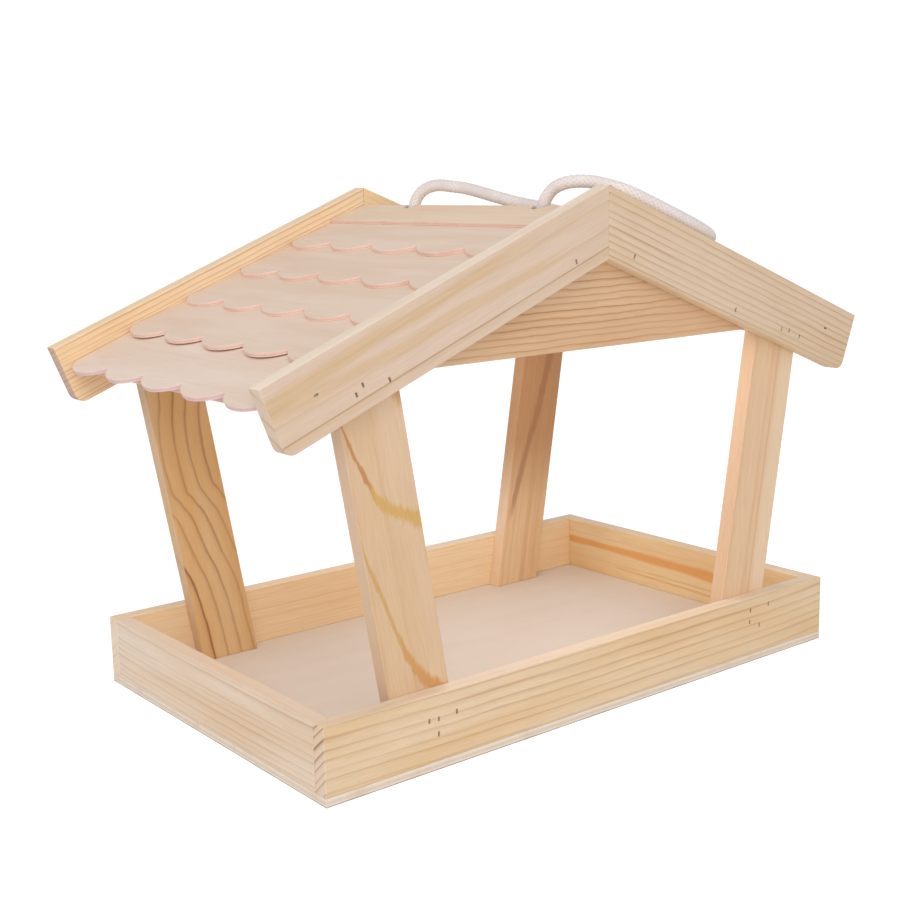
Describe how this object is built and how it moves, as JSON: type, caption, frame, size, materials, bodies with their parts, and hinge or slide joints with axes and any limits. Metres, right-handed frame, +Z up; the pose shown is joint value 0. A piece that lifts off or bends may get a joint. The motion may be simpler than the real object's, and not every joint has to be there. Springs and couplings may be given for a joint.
{
  "type": "hanging bird feeder",
  "caption": "Open wooden hanging bird feeder: shallow tray, splayed posts, gable roof with scalloped shingle courses, and a rope loop through the ridge.",
  "frame": {"origin": "middle of the underside of the base panel", "axes": "+X across the gables, to the right seen from the front gable; +Y along the ridge, to the back gable; +Z up"},
  "size_m": [0.3604, 0.194, 0.2466],
  "materials": {
    "tray_pine": "bare planed pine",
    "post_pine": "bare planed pine",
    "bargeboard_pine": "bare planed pine",
    "gable_pine": "bare planed pine",
    "base_plywood": "bare sanded plywood",
    "deck_plywood": "bare sanded plywood",
    "shingle_plywood": "bare sanded plywood, pinkish edges",
    "rope_cotton": "braided white cotton",
    "brad_steel": "dull steel"
  },
  "bodies": {
    "root": {"bargeboard_back_left": "bargeboard_pine", "bargeboard_back_right": "bargeboard_pine", "bargeboard_front_left": "bargeboard_pine", "bargeboard_front_right": "bargeboard_pine", "base_brads": "brad_steel", "base_panel": "base_plywood", "deck_brads_back": "brad_steel", "deck_brads_front": "brad_steel", "gable_brads_back": "brad_steel", "gable_brads_front": "brad_steel", "gable_panel_back": "gable_pine", "gable_panel_front": "gable_pine", "post_back_left": "post_pine", "post_back_right": "post_pine", "post_foot_brads_back": "brad_steel", "post_foot_brads_front": "brad_steel", "post_front_left": "post_pine", "post_front_right": "post_pine", "post_head_brads_back": "brad_steel", "post_head_brads_front": "brad_steel", "ridge_strip_left": "shingle_plywood", "ridge_strip_right": "shingle_plywood", "roof_deck_left": "deck_plywood", "roof_deck_right": "deck_plywood", "rope_knot_back": "rope_cotton", "rope_knot_front": "rope_cotton", "rope_loop": "rope_cotton", "shingle_left_1": "shingle_plywood", "shingle_left_2": "shingle_plywood", "shingle_left_3": "shingle_plywood", "shingle_left_4": "shingle_plywood", "shingle_left_5": "shingle_plywood", "shingle_right_1": "shingle_plywood", "shingle_right_2": "shingle_plywood", "shingle_right_3": "shingle_plywood", "shingle_right_4": "shingle_plywood", "shingle_right_5": "shingle_plywood", "tray_back_wall": "tray_pine", "tray_front_wall": "tray_pine", "tray_left_wall": "tray_pine", "tray_right_wall": "tray_pine"}
  },
  "joints": []
}
